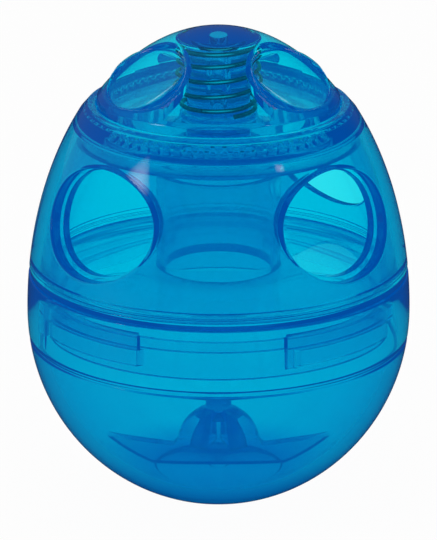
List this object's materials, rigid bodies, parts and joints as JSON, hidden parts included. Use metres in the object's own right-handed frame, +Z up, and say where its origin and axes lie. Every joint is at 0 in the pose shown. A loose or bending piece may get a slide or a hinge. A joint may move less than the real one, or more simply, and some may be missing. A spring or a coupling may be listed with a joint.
{
  "type": "cat treat dispenser toy",
  "caption": "Egg-shaped clear blue plastic pet toy that drops treats through oval side holes as it rolls, with a push-and-turn dial dome that sets the hole opening.",
  "frame": {"origin": "centre of the flat foot", "axes": "+Z up the egg's axis to the dial dome; -Y is the side seen in the picture, between two treat holes, +X to the right"},
  "size_m": [0.07, 0.07, 0.0863],
  "materials": {
    "cup_plastic": "polished clear blue plastic",
    "tray_plastic": "polished clear blue plastic",
    "shell_plastic": "polished clear blue plastic",
    "sleeve_plastic": "polished clear blue plastic",
    "dome_plastic": "polished clear blue plastic",
    "spring_steel": "bright drawn spring wire"
  },
  "bodies": {
    "cup": {"lower_cup": "cup_plastic"},
    "upper": {"upper_shell": "shell_plastic", "divider_tray": "tray_plastic"},
    "shutter": {"shutter_sleeve": "sleeve_plastic", "return_spring": "spring_steel"},
    "dial": {"dial_dome": "dome_plastic"}
  },
  "joints": [
    {"name": "cup_twist", "type": "hinge", "parent": "cup", "child": "upper", "pos_m": [0, 0, 0.036], "axis": [0, 0, 1], "range_deg": [0, 45]},
    {"name": "dial_turn", "type": "hinge", "parent": "upper", "child": "shutter", "pos_m": [0, 0, 0.0656], "axis": [0, 0, 1], "continuous": true},
    {"name": "dial_press", "type": "slide", "parent": "shutter", "child": "dial", "axis": [0, 0, -1], "range_m": [0, 0.0012], "stiffness_N_per_m": 400, "springref_m": -0.0025, "deforming": ["return_spring"]}
  ]
}
